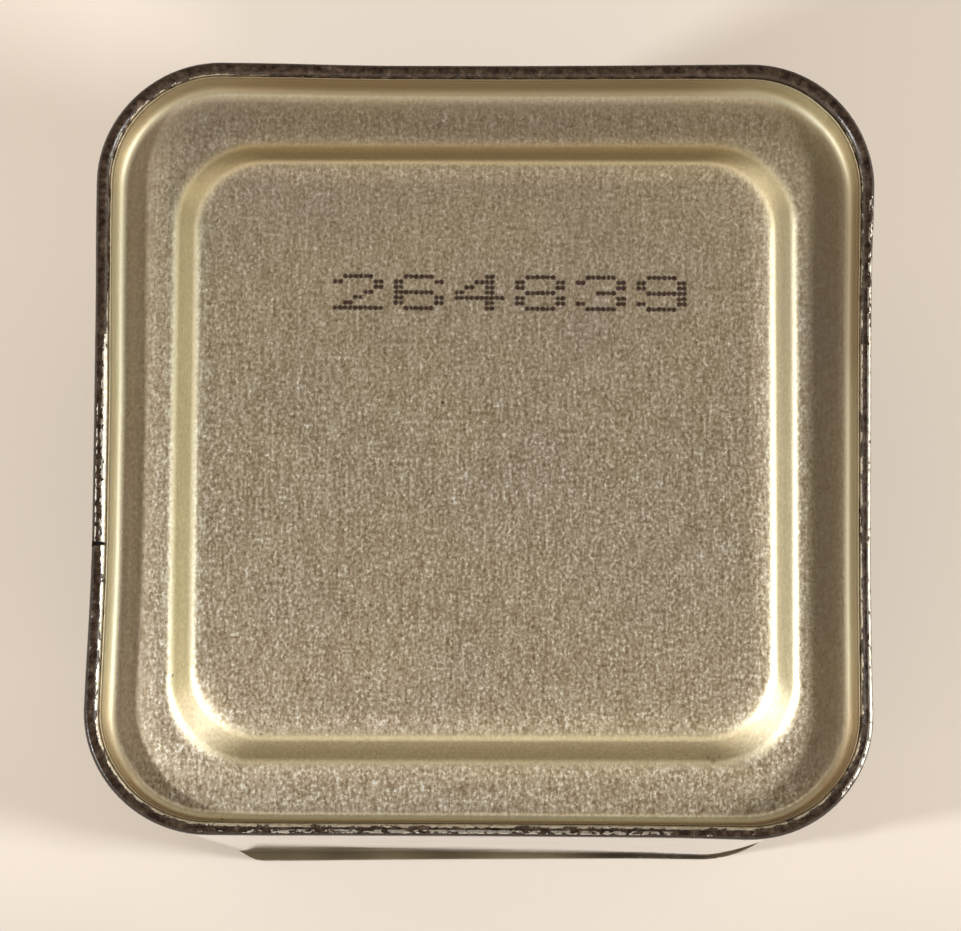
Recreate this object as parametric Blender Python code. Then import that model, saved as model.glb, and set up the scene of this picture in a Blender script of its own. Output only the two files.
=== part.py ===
"""A square tea tin with a slip lid, shut and standing upside down on the lid.

The base faces up: a bare tinplate end with a raised middle, held by a hem that
is rolled from the painted body. Units are metres and +Z is up. The origin is
the centre of the footprint, on the surface that the lid rests on.
"""

import math

import bmesh
import bpy

# The whole tin, over the hem round the base
WIDTH = 0.076
HEIGHT = 0.112
CORNER_RADIUS = 0.0121
SIDE_BOW = 0.00027  # the middle of each side sits this far inside its corners
GAP = 0.0003  # clearance between neighbouring pieces

# The body's wall and the hem rolled at its upper end
WALL_INSET = 0.0004
HEM_WIDTH = 0.00115
HEM_HEIGHT = 0.0032
HEM_SLOPE = 0.0004

# The base end, with depths measured down from the top of the hem
SHEET = 0.00025
END_TOP_DEPTH = 0.0010
RECESS_DEPTH = 0.0038
END_FLOOR = 0.0008  # metal left under the flat part of the recess
WALL_TAPER = 0.0005
WALL_FILLET = 0.00065
PANEL_RISE = 0.0031
STEP_FOOT_HALF = 0.03125
STEP_FOOT_CORNER = 0.0077
STEP_TOP_CORNER = 0.0070
STEP_RADIUS = 0.0017
STEP_ANGLE = math.radians(50)

# The slip lid, which is also the foot that the tin stands on here
LID_HEIGHT = 0.020
LID_PANEL = 0.0010
LID_EDGE_RADIUS = 0.0020
LID_BEAD = 0.0002
LID_BEAD_HEIGHT = 0.0016
NECK_INSET = 0.0014
GROOVE_HALF = 0.0300
GROOVE_CORNER = 0.0080
GROOVE_WIDTH = 0.0016
GROOVE_DEPTH = 0.0005

# How finely outlines and rounded edges are divided
CORNER_STEPS = 10
SIDE_STEPS = 6
ARC_STEPS = 4

HALF = WIDTH / 2


def clear_scene():
    for obj in list(bpy.data.objects):
        bpy.data.objects.remove(obj, do_unlink=True)


def material(name, colour, metallic, roughness):
    made = bpy.data.materials.new(name)
    made.use_nodes = True
    shader = made.node_tree.nodes["Principled BSDF"]
    shader.inputs["Base Color"].default_value = (*colour, 1.0)
    shader.inputs["Metallic"].default_value = metallic
    shader.inputs["Roughness"].default_value = roughness
    return made


def outline(half, corner, bow, z):
    """A rounded square at height z, anticlockwise, whose sides curve inwards by bow."""
    points = []
    centre = half - corner
    for side in range(4):
        start = side * math.pi / 2
        turn_x, turn_y = math.cos(start), math.sin(start)

        def place(out, along):
            return (out * turn_x - along * turn_y, out * turn_y + along * turn_x, z)

        for step in range(SIDE_STEPS):
            share = step / SIDE_STEPS
            dip = bow * 4 * share * (1 - share)
            points.append(place(half - dip, centre * (2 * share - 1)))
        for step in range(CORNER_STEPS):
            angle = math.pi / 2 * step / CORNER_STEPS
            points.append(
                place(centre + corner * math.cos(angle), centre + corner * math.sin(angle))
            )
    return points


def rim_ring(inset, z):
    """The tin's own outline moved inwards by inset, keeping its corners concentric."""
    return outline(HALF - inset, CORNER_RADIUS - inset, SIDE_BOW, z)


def arc(centre, height, radius, start, end):
    """Points of a rounded edge in section, as pairs of distance and height."""
    for step in range(ARC_STEPS + 1):
        angle = start + (end - start) * step / ARC_STEPS
        yield centre + radius * math.cos(angle), height + radius * math.sin(angle)


def loft(name, rings, finish):
    """One closed solid through a stack of rings, with its first and last ring capped.

    The rings run from the middle of the lower side out and up to the upper side,
    so that every face points out of the metal.
    """
    mesh = bpy.data.meshes.new(name)
    bm = bmesh.new()
    loops = [[bm.verts.new(point) for point in ring] for ring in rings]
    bm.faces.new(reversed(loops[0]))
    for lower, upper in zip(loops, loops[1:]):
        for i in range(len(lower)):
            bm.faces.new((lower[i - 1], lower[i], upper[i], upper[i - 1]))
    bm.faces.new(loops[-1])
    bm.to_mesh(mesh)
    bm.free()
    mesh.materials.append(finish)
    mesh.shade_smooth()
    mesh.set_sharp_from_angle(angle=math.radians(35))
    obj = bpy.data.objects.new(name, mesh)
    bpy.context.scene.collection.objects.link(obj)
    return obj


def body(finish):
    """The painted body: its neck in the lid, its wall, and the hem round the base."""
    shoulder = LID_HEIGHT + GAP
    hem_radius = HEM_WIDTH / 2
    hem_foot = HEIGHT - HEM_HEIGHT
    floor = HEIGHT - RECESS_DEPTH - END_FLOOR - GAP
    rings = [
        rim_ring(NECK_INSET, LID_PANEL + GAP),
        rim_ring(NECK_INSET, shoulder),
        rim_ring(WALL_INSET, shoulder),
        rim_ring(WALL_INSET, hem_foot),
        rim_ring(0.0, hem_foot + HEM_SLOPE),
    ]
    for across, z in arc(-hem_radius, HEIGHT - hem_radius, hem_radius, 0.0, math.pi):
        rings.append(rim_ring(-across, z))
    rings.append(rim_ring(HEM_WIDTH, floor))
    return loft("body", rings, finish)


def base_end(finish):
    """The bare end: a thin upturned wall, a flat recess and a raised middle panel."""
    outer = HEM_WIDTH + GAP
    inner = outer + SHEET
    foot = inner + WALL_TAPER
    top = HEIGHT - END_TOP_DEPTH
    flat = HEIGHT - RECESS_DEPTH
    rings = [
        rim_ring(outer, flat - END_FLOOR),
        rim_ring(outer, top),
        rim_ring(inner, top),
    ]
    fillet = foot + WALL_FILLET
    for across, z in arc(-fillet, flat + WALL_FILLET, WALL_FILLET, 0.0, -math.pi / 2):
        rings.append(rim_ring(-across, z))
    rings += panel_step(flat)
    return loft("base_end", rings, finish)


def panel_step(flat):
    """Rings of the drawn step, from the flat of the recess up to the middle panel."""
    quarter = math.pi / 2
    section = list(
        arc(STEP_FOOT_HALF, flat + STEP_RADIUS, STEP_RADIUS, -quarter, -quarter - STEP_ANGLE)
    )
    straight_rise = PANEL_RISE - 2 * STEP_RADIUS * (1 - math.cos(STEP_ANGLE))
    run = 2 * STEP_RADIUS * math.sin(STEP_ANGLE) + straight_rise / math.tan(STEP_ANGLE)
    top_half = STEP_FOOT_HALF - run
    section += arc(
        top_half, flat + PANEL_RISE - STEP_RADIUS, STEP_RADIUS, quarter - STEP_ANGLE, quarter
    )
    rings = []
    for half, z in section:
        share = (STEP_FOOT_HALF - half) / run
        corner = STEP_FOOT_CORNER + (STEP_TOP_CORNER - STEP_FOOT_CORNER) * share
        rings.append(outline(half, corner, 0.0, z))
    return rings


def lid(finish):
    """The slip lid, open side up, with a beaded mouth and a grooved resting face."""
    rings = []
    for share, z in ((1.0, 0.0), (0.7, GROOVE_DEPTH), (0.3, GROOVE_DEPTH), (0.0, 0.0)):
        inwards = GROOVE_WIDTH * share
        rings.append(outline(GROOVE_HALF - inwards, GROOVE_CORNER - inwards, 0.0, z))
    edge = LID_BEAD + LID_EDGE_RADIUS
    for across, z in arc(-edge, LID_EDGE_RADIUS, LID_EDGE_RADIUS, -math.pi / 2, 0.0):
        rings.append(rim_ring(-across, z))
    bead_foot = LID_HEIGHT - LID_BEAD_HEIGHT
    mouth = NECK_INSET - GAP
    rings += [
        rim_ring(LID_BEAD, bead_foot),
        rim_ring(0.0, bead_foot + LID_BEAD),
        rim_ring(0.0, LID_HEIGHT - LID_BEAD),
        rim_ring(LID_BEAD, LID_HEIGHT),
        rim_ring(mouth, LID_HEIGHT),
        rim_ring(mouth, LID_PANEL),
    ]
    return loft("lid", rings, finish)


def main():
    clear_scene()
    lacquer = material("dark lacquer", (0.035, 0.025, 0.022), 0.0, 0.25)
    tinplate = material("bare tinplate", (0.60, 0.55, 0.42), 1.0, 0.35)
    body(lacquer)
    base_end(tinplate)
    lid(lacquer)


main()
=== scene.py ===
"""The looks of a square tea tin that stands base up on its slip lid.

Units are metres and +Z is up. The side at the bottom of the photograph is -Y.
"""

import math

import bmesh
import bpy
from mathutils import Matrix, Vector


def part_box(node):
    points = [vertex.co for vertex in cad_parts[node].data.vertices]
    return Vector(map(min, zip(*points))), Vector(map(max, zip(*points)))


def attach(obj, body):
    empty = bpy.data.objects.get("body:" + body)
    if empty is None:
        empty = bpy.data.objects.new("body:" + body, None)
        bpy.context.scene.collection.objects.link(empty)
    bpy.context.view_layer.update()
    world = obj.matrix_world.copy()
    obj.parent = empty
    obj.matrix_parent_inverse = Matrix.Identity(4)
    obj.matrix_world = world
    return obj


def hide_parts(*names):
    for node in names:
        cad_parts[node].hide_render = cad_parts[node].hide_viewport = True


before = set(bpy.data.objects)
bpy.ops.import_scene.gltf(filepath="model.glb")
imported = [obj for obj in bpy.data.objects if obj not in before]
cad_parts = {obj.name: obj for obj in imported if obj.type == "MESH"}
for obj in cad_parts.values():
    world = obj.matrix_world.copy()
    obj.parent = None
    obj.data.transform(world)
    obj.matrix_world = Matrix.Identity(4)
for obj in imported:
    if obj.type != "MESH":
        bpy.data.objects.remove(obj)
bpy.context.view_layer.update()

MM = 0.001
QUARTER = math.pi / 2
NEAR = 0.02 * MM  # points that are closer than this lie level

# The tin's main sizes, from the frame
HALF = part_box("body")[1].x
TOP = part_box("body")[1].z
LID_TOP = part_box("lid")[1].z
CORNER = 12.1 * MM
GAP = 0.3 * MM
STRAIGHT_HALF = HALF - CORNER  # half the straight part of a side

# Painted body, whose hem rises steeply outside and falls more gently inside
HEM_OUTER = 0.36 * MM
HEM_INNER = 0.79 * MM
HEM_WIDTH = HEM_OUTER + HEM_INNER
HEM_RISE = 0.575 * MM
HEM_FOOT = TOP - 2.8 * MM
HEM_FLOOR = TOP - 4.9 * MM
WALL_INSET = 0.12 * MM
UNDER_HEM = ((0.1, 0.02), (0.4, 0.14), (0.4, 0.20), (0.1, 0.12))  # shares of the inset, drops in mm
WALL_HEAD = 0.5 * MM  # a short first part keeps the wall's shading even
WALL_PARTS = 4
NECK_INSET = 1.4 * MM

# Side seam, which ends in a nick in the hem
SEAM_FRONT = -9.87 * MM
SEAM_WIDTH = 4.0 * MM
SEAM_RISE = 0.25 * MM
SEAM_EDGE = 0.12 * MM
NICK_WIDTH = 0.65 * MM
NICK_LENGTH = 1.45 * MM
NICK_MIDDLE = -36.95 * MM
NICK_TAPER = 0.1
NICK_RISE = 0.1 * MM
NICK_OUTSIDE = 0.1 * MM

# Bare end
END_INSET = HEM_WIDTH + GAP
END_FLOOR = TOP - 4.6 * MM
LIP_INSET = HEM_WIDTH - 0.03 * MM  # the end's lip tucks in under the hem
LIP_FOOT = TOP - 0.86 * MM
LIP_SIDE = 0.2 * MM
LIP_WIDTH = 0.18 * MM
LIP_TURN = 0.04 * MM
LIP_LIFT = 0.12 * MM  # at the corners the lip lies flush with the hem
LIFT_FROM = 22 * MM
LIFT_SPAN = 8 * MM
WALL_TOP = TOP - 0.66 * MM
WALL_FOOT_INSET = 1.55 * MM
WALL_LEAN = math.radians(7)
WALL_FILLET = 1.2 * MM
FLAT = TOP - 3.95 * MM  # the floor of the recess, where it meets its wall
DISH_STEPS = 8
DISH_SLOPE = math.radians(7.5)  # the recess floor rises inwards to this slope at the step
STEP_FOOT_HALF = 31.05 * MM
STEP_FOOT_CORNER = 7.7 * MM
STEP_TOP_CORNER = 7.0 * MM
STEP_RADIUS = 1.7 * MM
STEP_ANGLE = math.radians(50)
CROWN_SLOPES = [math.radians(tilt) for tilt in (8.5, 6.0, 3.8, 1.8)]
CROWN_STEP = 0.48 * MM
PANEL_TOP = TOP - 0.7 * MM
PANEL_BORDER = 1.5 * MM
STEP_FOOT_SHIFT = (0.315 * MM, -0.30 * MM)  # the drawn step sits a little off the middle
STEP_TOP_SHIFT = (0.235 * MM, -0.10 * MM)
STEP_TURN = (-0.0086, 0.0045)  # and a little askew
STEP_NARROWING = 0.0036

# Slip lid, a little wider than the body and a little askew on it
LID_HALF = HALF + 0.5 * MM
LID_TURN = math.radians(0.70)
LID_PANEL = 1.0 * MM
LID_BEAD = 0.2 * MM
LID_BEAD_HEIGHT = 1.6 * MM
LID_EDGE = 2.0 * MM
LID_WALL_PARTS = 6
BEAD_RUB = 0.5 * MM  # the lid rubs this far from the middle of its bead
FOOT_RUB = 0.6 * MM  # and this far from its foot's edge, at FOOT_HEIGHT
FOOT_HEIGHT = 0.7 * MM
RUB_DEPTH = 1.0 * MM
GROOVE_HALF = 30.0 * MM
GROOVE_CORNER = 8.0 * MM
GROOVE_WIDTH = 1.6 * MM
GROOVE_DEPTH = 0.5 * MM
DENT_TURN = math.radians(59.5)  # the way the dented corner of the lid faces, from -X
DENT_REACH = 46.78 * MM  # how far out the dent lies, from the middle of the tin
DENT_SOFTNESS = 0.15 * MM
DENT_MARGIN = 1.0 * MM  # further in than this from the dent nothing moves

# How finely outlines and rounded edges are divided
CORNER_STEPS = 22
SIDE_CUTS = 15
ROUND_STEPS = 8
SMOOTH_ANGLE = math.radians(40)


# Helpers for modelling


def clamp(share):
    """Keeps a share between 0 and 1."""
    return max(0.0, min(1.0, share))


def deselect_all():
    if bpy.context.object and bpy.context.object.mode != "OBJECT":
        bpy.ops.object.mode_set(mode="OBJECT")
    bpy.ops.object.select_all(action="DESELECT")


def select_only(piece):
    deselect_all()
    piece.select_set(True)
    bpy.context.view_layer.objects.active = piece


def keep_place():
    """Moves the active piece's place, turn and size into its mesh."""
    bpy.ops.object.transform_apply(location=True, rotation=True, scale=True)


def pick(kind, test):
    """Selects the faces or edges of the mesh in edit mode that pass a test."""
    bpy.ops.mesh.select_mode(type={"faces": "FACE", "edges": "EDGE"}[kind])
    bpy.ops.mesh.select_all(action="DESELECT")
    mesh = bpy.context.object.data
    for item in getattr(bmesh.from_edit_mesh(mesh), kind):
        if test(item):
            item.select_set(True)
    bmesh.update_edit_mesh(mesh)


def pick_cap(side):
    """Selects the piece's one many-sided face that looks up, with side 1, or down, with -1."""
    pick("faces", lambda face: len(face.verts) > 4 and face.normal.z * side > 0.5)


def begin_rounded(name, half, corner, z):
    """A rounded square sheet at height z, open in edit mode with its face selected."""
    deselect_all()
    bpy.ops.mesh.primitive_plane_add(size=2 * half, location=(0, 0, z))
    piece = bpy.context.object
    piece.name = piece.data.name = name
    keep_place()
    bpy.ops.object.mode_set(mode="EDIT")
    bpy.ops.mesh.select_mode(type="VERT")
    bpy.ops.mesh.select_all(action="SELECT")
    bpy.ops.mesh.bevel(
        offset_type="OFFSET", offset=corner, segments=CORNER_STEPS, profile=0.5, affect="VERTICES"
    )
    pick("edges", lambda edge: edge.calc_length() > half - corner)
    bpy.ops.mesh.subdivide(number_cuts=SIDE_CUTS)
    bpy.ops.mesh.select_mode(type="FACE")
    bpy.ops.mesh.select_all(action="SELECT")
    return piece


def raise_face(dz):
    """Extrudes the selected face straight up or down, as a wall."""
    bpy.ops.mesh.extrude_region_move(TRANSFORM_OT_translate={"value": (0, 0, dz)})


def step_in(inwards, along):
    """Insets the selected face, and moves it along its own normal."""
    bpy.ops.mesh.inset(thickness=inwards, depth=along, use_even_offset=True)


def round_in(run, rise, start, end, steps):
    """Rounds an edge: insets the selected face along part of an oval of a given run and rise.

    At angle 0 it goes straight along the face's normal, and at 90 degrees inwards.
    """
    for step in range(steps):
        a = start + (end - start) * step / steps
        b = start + (end - start) * (step + 1) / steps
        step_in(run * (math.cos(a) - math.cos(b)), rise * (math.sin(b) - math.sin(a)))


def open_corners(limit, radius_at):
    """Gives every ring within a half width its own corner radius.

    Insets keep the corners of all rings round the same four centres. A drawn step has
    wider corners than that.
    """
    centre = STRAIGHT_HALF
    mesh = bpy.context.object.data
    for vert in bmesh.from_edit_mesh(mesh).verts:
        u, v = abs(vert.co.x), abs(vert.co.y)
        in_corner = u > centre and v > centre
        half = centre + math.hypot(u - centre, v - centre) if in_corner else max(u, v)
        if half > limit + NEAR:
            continue
        radius = radius_at(half)
        if in_corner:
            turn = math.atan2(v - centre, u - centre)
            u = half - radius + radius * math.cos(turn)
            v = half - radius + radius * math.sin(turn)
        elif u > v:
            v *= (half - radius) / centre
        else:
            u *= (half - radius) / centre
        vert.co.x = math.copysign(u, vert.co.x)
        vert.co.y = math.copysign(v, vert.co.y)
    bmesh.update_edit_mesh(mesh)


def finish_piece(piece, nodes, material):
    """Shades a piece, fits it to the tin's own outline and hangs it on the frame."""
    deselect_all()
    fit_to_outline(piece)
    select_only(piece)
    bpy.ops.object.shade_smooth_by_angle(angle=SMOOTH_ANGLE)
    piece.data.materials.clear()
    piece.data.materials.append(material)
    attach(piece, "root")
    for node in nodes:
        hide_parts(node)


# The tin isn't quite square: one lattice bends every piece alike

LATTICE_HALF = 40 * MM
LATTICE_POINTS = 17
SHEAR = 0.0066
WIDER_X = 0.13 * MM / HALF
WIDER_Y = -0.01 * MM / HALF
BOW_FROM = 30 * MM  # a side's hollow fades in from here to the outline
CORNER_FROM = 20 * MM  # and the move of a corner from here
CORNER_SPAN = 14.5 * MM
SIDE_BOWS = {  # how far in each side lies, in mm, as pairs with a place along it
    "left": (
        (-27, 0.0), (-23, 0.14), (-19, 0.29), (-14, 0.43), (-10, 0.47),
        (3, 0.38), (16, 0.24), (27, 0.0),
    ),
    "right": ((-27, 0.0), (-19, 0.07), (-13, 0.18), (13, 0.16), (20, 0.05), (25, -0.12), (32, 0.0)),
    "back": (
        (-32, 0.04), (-23, 0.18), (-16, 0.33), (-10, 0.4),
        (2, 0.36), (13, 0.25), (22, 0.11), (32, 0.0),
    ),
    "front": ((-26, 0.0), (-13, 0.07), (0, 0.09), (13, 0.07), (26, 0.0)),
}
CORNER_MOVES = {  # how far out each corner reaches, in mm, by its side in x and y
    (1, -1): 0.18,
    (-1, 1): -0.13,
    (-1, -1): -0.08,
    (1, 1): 0.0,
}


def read_between(pairs, along):
    """The value at a place between listed ones."""
    for (a, low), (b, high) in zip(pairs, pairs[1:]):
        if along <= b:
            return low + (high - low) * max(0.0, along - a) / (b - a)
    return pairs[-1][1]


def out_of_square(x, y):
    """How far the tin's outline departs from the ideal one at a place, in metres."""
    near_x, near_y = (max(0.0, (abs(at) - BOW_FROM) / (HALF - BOW_FROM)) for at in (x, y))
    across, along = math.copysign(1, x), math.copysign(1, y)
    dx = SHEAR * y + WIDER_X * x
    dy = WIDER_Y * y
    dx -= across * near_x * MM * read_between(SIDE_BOWS["right" if x > 0 else "left"], y / MM)
    dy -= along * near_y * MM * read_between(SIDE_BOWS["back" if y > 0 else "front"], x / MM)
    towards = max(0.0, abs(x) - CORNER_FROM) * max(0.0, abs(y) - CORNER_FROM) / CORNER_SPAN**2
    dx += across * towards * MM * CORNER_MOVES[across, along]
    dy += along * towards * MM * CORNER_MOVES[across, along]
    return dx, dy


def fit_to_outline(piece):
    bpy.ops.object.add(type="LATTICE", location=(0, 0, TOP / 2))
    cage = bpy.context.object
    cage.scale = (2 * LATTICE_HALF, 2 * LATTICE_HALF, TOP * 1.1)
    cage.data.points_u = cage.data.points_v = LATTICE_POINTS
    cage.data.points_w = 2
    for way in ("u", "v", "w"):
        setattr(cage.data, "interpolation_type_" + way, "KEY_CATMULL_ROM")
    for point in cage.data.points:
        x = point.co.x * 2 * LATTICE_HALF
        y = point.co.y * 2 * LATTICE_HALF
        dx, dy = out_of_square(x, y)
        point.co_deform.x += dx / (2 * LATTICE_HALF)
        point.co_deform.y += dy / (2 * LATTICE_HALF)
    bpy.context.view_layer.update()
    select_only(piece)
    fitting = piece.modifiers.new("outline", "LATTICE")
    fitting.object = cage
    bpy.ops.object.modifier_apply(modifier=fitting.name)
    bpy.data.objects.remove(cage, do_unlink=True)


# Values kept on the points of a piece, for its material


def side_and_place(vert):
    """The side of the tin that a point is nearest, and how far along it, in mm."""
    x, y = vert.co.x, vert.co.y
    if abs(x) > abs(y):
        return ("right" if x > 0 else "left"), y / MM
    return ("back" if y > 0 else "front"), x / MM


def inward_way(vert):
    """How far in from the outline a point lies, and the way inwards there."""
    x, y = vert.co.x, vert.co.y
    across, along = abs(x) - STRAIGHT_HALF, abs(y) - STRAIGHT_HALF
    if across > 0 and along > 0:
        beyond = math.hypot(across, along)
        way = (across / beyond, along / beyond)
    else:
        beyond = max(across, along)
        way = (1.0, 0.0) if across > along else (0.0, 1.0)
    return CORNER - beyond, (-math.copysign(way[0], x), -math.copysign(way[1], y))


def store_values(piece, name, value_at):
    """Keeps a value on each point of a piece."""
    kept = piece.data.attributes.new(name, "FLOAT", "POINT")
    for index, vert in enumerate(piece.data.vertices):
        kept.data[index].value = value_at(vert)


def turned(vert):
    """How much the outline runs along X at a point, 0 at the left and right sides."""
    return inward_way(vert)[1][1] ** 2


# The hem, by side, as pairs of a place along the side and a value there, in mm

WEAR = {  # how much paint is rubbed off the outer shoulder of the hem, 0 to 1
    "left": (
        (-38, 0.1), (-27, 0.2), (-23, 0.35), (-10.4, 0.3), (-9.6, 0.6),
        (4, 0.5), (11, 0.1), (38, 0.05),
    ),
    "front": ((-38, 0.3), (-28, 0.35), (-12, 0.54), (14, 0.58), (22, 0.42), (30, 0.2), (38, 0.4)),
    "right": (
        (-38, 0.5), (-30, 0.6), (-25, 0.68), (6, 0.68),
        (12, 0.6), (22, 0.48), (28, 0.2), (38, 0.1),
    ),
    "back": ((-38, 0.12), (38, 0.1)),
}
PAINT_EDGE = {  # how far in from the outline the paint reaches
    "left": (
        (-38, 0.98), (-20, 0.90), (-10.4, 0.92), (-9.6, 0.62),
        (8, 0.68), (14, 1.15), (24, 1.15), (38, 0.98),
    ),
    "front": ((-38, 1.0), (-20, 0.82), (0, 0.80), (20, 0.84), (38, 1.0)),
    "right": ((-38, 1.0), (-20, 0.96), (10, 0.96), (24, 1.06), (31, 1.1), (34, 1.4), (38, 1.4)),
    "back": ((-38, 0.95), (-20, 1.18), (20, 1.2), (30, 1.4), (38, 1.4)),
}
STRIP_MIDDLE = {  # how far in the middle of the worn strip runs
    "left": ((-38, 0.34), (-12, 0.31), (8, 0.31), (38, 0.34)),
    "front": ((-38, 0.34), (-26, 0.40), (26, 0.40), (38, 0.34)),
    "right": ((-38, 0.34), (-26, 0.28), (26, 0.28), (38, 0.34)),
    "back": ((-38, 0.34), (38, 0.34)),
}
STRIP_HALF = {  # and how far it reaches either way
    "left": ((-38, 0.12), (-24, 0.08), (24, 0.08), (38, 0.10)),
    "front": ((-38, 0.12), (-26, 0.19), (26, 0.19), (38, 0.16)),
    "right": ((-38, 0.16), (-26, 0.21), (26, 0.21), (38, 0.10)),
    "back": ((-38, 0.10), (38, 0.10)),
}
HEM_SPREAD = {  # how much wider than drawn the hem lies
    "left": ((-38, 0.2), (-24, 0.27), (6, 0.25), (14, 0.13), (24, 0.13), (38, 0.2)),
    "front": ((-38, 0.2), (-20, 0.03), (20, 0.02), (38, 0.12)),
    "right": ((-38, 0.12), (-20, -0.08), (20, -0.05), (38, 0.34)),
    "back": ((-38, 0.2), (-20, 0.12), (20, 0.12), (38, 0.34)),
}
WALL_MOVE = {"left": 0.0, "front": -0.3, "right": -0.1, "back": 0.0}  # how far in the wall lies
SPREAD_INSIDE = 5.5 * MM  # nothing moves further in than this
SPREAD_FADE = 2.5 * MM
WALL_MOVE_FROM = 1.25 * MM  # the wall's foot moves more and more from here inwards
WALL_MOVE_FADE = 0.75 * MM
MOVE_CORNER = (20, 18)  # where along a side that fades out, and over how far, in mm


def store_hem_wear(piece):
    """Keeps on each point how far in over the hem it lies, in mm, and how it is worn there."""

    def inwards(vert):
        reach = inward_way(vert)[0] / MM
        below = vert.co.z < TOP - HEM_RISE - NEAR and reach < 1.0
        return -1.0 if below else reach

    def along_side(table):
        def value(vert):
            side, place = side_and_place(vert)
            return read_between(table[side], place)

        return value

    store_values(piece, "inwards", inwards)
    store_values(piece, "wear", along_side(WEAR))
    store_values(piece, "paint_edge", along_side(PAINT_EDGE))
    store_values(piece, "strip_middle", along_side(STRIP_MIDDLE))
    store_values(piece, "strip_half", along_side(STRIP_HALF))
    store_values(piece, "turned", turned)


def spread_hem(piece):
    """Widens the hem inwards by its own measure on each side, and moves the wall with it."""
    for vert in piece.data.vertices:
        if vert.co.z < FLAT - GAP:
            continue
        inwards, way = inward_way(vert)
        side, place = side_and_place(vert)
        move = read_between(HEM_SPREAD[side], place) * min(1.0, inwards / HEM_WIDTH)
        below_hem = clamp((inwards - WALL_MOVE_FROM) / WALL_MOVE_FADE)
        near_corner = max(0.0, (abs(place) - MOVE_CORNER[0]) / MOVE_CORNER[1])
        move += WALL_MOVE[side] * below_hem * max(0.0, 1 - near_corner)
        move *= MM * clamp((SPREAD_INSIDE - inwards) / SPREAD_FADE)
        vert.co.x += move * way[0]
        vert.co.y += move * way[1]


# The bare end's sheet: flatness, stains and painted shade, painted light, grit, and a hazy step with
# its painted highlight

RIM_REACH = 4 * MM  # the upturned wall lies within this, and is steeper than RIM_TILT
RIM_TILT = 20
FLAT_TILT = (6, 22)  # up to this tilt the sheet is flat, and over how far that fades, in degrees
STEP_INSIDE = 5.0  # the drawn step lies further in than this, in mm
STEP_PAINTED_SHADE = (0.3, 0.5)  # painted shade: how brown and dark the drawn step is painted at the front and at the back, which face away from the lamps
STEP_TURNING = 16  # over how far that changes from side to side, in mm
CREASE_PAINTED_SHADE = {"left": 0.35, "front": 1.1, "right": 0.3, "back": 0.4}  # painted shade in the crease under the hem
CREASE_REACH = {"left": 1.25, "front": 1.55, "right": 1.25, "back": 1.25}
CREASE_FADE = 0.4
BACK_STAIN = (2.2, 0.6, 0.2)  # where the back wall's stain fades, over how far, and to what share
STAIN = {  # how brown the upturned wall of the end has gone, by place along its side
    "left": (
        (-38, 0.8), (-28, 0.5), (-22, 0.0), (-12, 0.0), (0, 0.1), (14, -0.1), (24, 0.1), (38, 0.7),
    ),
    "front": ((-38, 0.8), (-24, -0.2), (24, -0.1), (38, 1.1)),
    "right": (
        (-38, 1.1), (-26, 0.7), (-20, 0.35), (5, 0.4), (10, 0.75), (24, 0.8), (30, 0.3), (38, 0.0),
    ),
    "back": ((-38, 0.2), (-28, 0.5), (-20, 0.8), (20, 0.8), (27, 0.3), (32, -0.5), (38, -0.5)),
}
PAINTED_LIGHT_RINGS = {  # how bright the sheet is painted, by how far in from the outline, in mm: painted highlights on the lit edges, painted shade in the crease and on the slopes
    "left": (
        (2.34, 1.0), (2.54, 1.15), (2.74, 1.0), (3.0, 1.2), (5.0, 1.2), (6.0, 1.12), (6.7, 1.0),
        (7.0, 0.88), (7.5, 0.88), (8.0, 0.95), (9.1, 0.95), (9.5, 0.83), (10.2, 0.77),
        (11.4, 0.85), (12.2, 1.0),
    ),
    "front": (
        (1.25, 0.75), (1.7, 0.8), (1.9, 0.95), (2.15, 0.84), (2.34, 0.84), (2.54, 1.7),
        (2.74, 0.99), (5.6, 1.04), (6.5, 1.14), (7.1, 1.14), (7.7, 0.89), (9.2, 0.88),
        (10.0, 1.04), (11.4, 1.1), (12.4, 1.0),
    ),
    "right": (
        (2.4, 1.0), (2.6, 1.15), (2.75, 1.1), (3.0, 0.9), (5.2, 0.9), (6.2, 1.0), (6.9, 1.04),
        (7.3, 1.1), (8.0, 1.08), (8.4, 1.0), (9.1, 1.0), (9.6, 1.08), (10.4, 1.12),
        (11.6, 1.1), (12.2, 1.0),
    ),
    "back": (
        (2.4, 1.0), (2.6, 1.45), (2.9, 1.45), (3.3, 1.0), (6.4, 1.0), (6.8, 1.3), (7.1, 1.3),
        (7.5, 1.08), (8.0, 1.05), (8.4, 0.86), (9.3, 0.86), (10.0, 1.33), (11.2, 1.35), (12.2, 1.0),
    ),
}
GRIT_FADED_IN_SHADE = {  # how much of its grain shows there, 0 to 1, faded where the walls cast shadow: painted shade
    "left": ((4.2, 0.3), (5.8, 1.0)),
    "front": ((2.5, 0.5), (3.0, 1.0)),
    "right": ((5.2, 0.25), (7.0, 1.0)),
    "back": ((3.2, 0.4), (4.4, 1.0)),
}
STEP_HAZE = 6.0 * MM  # the drawn step is hazy this far either way from its corners
STEP_HAZE_SHARE = {  # how hazy it is at each corner, and how much painted highlight it gets, by whether x and y are positive
    (False, False): 1.0,
    (True, False): 0.7,
    (False, True): 0.3,
    (True, True): 0.6,
}
HAZE_INSIDE = 6.5 * MM
# painted highlight: the hazy corners of the step are painted this bright
HAZE_PAINTED_LIGHT = 1.08
SIDE_TURNING = 10 * MM  # over how far one side's painted light gives way to the next one's


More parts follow.
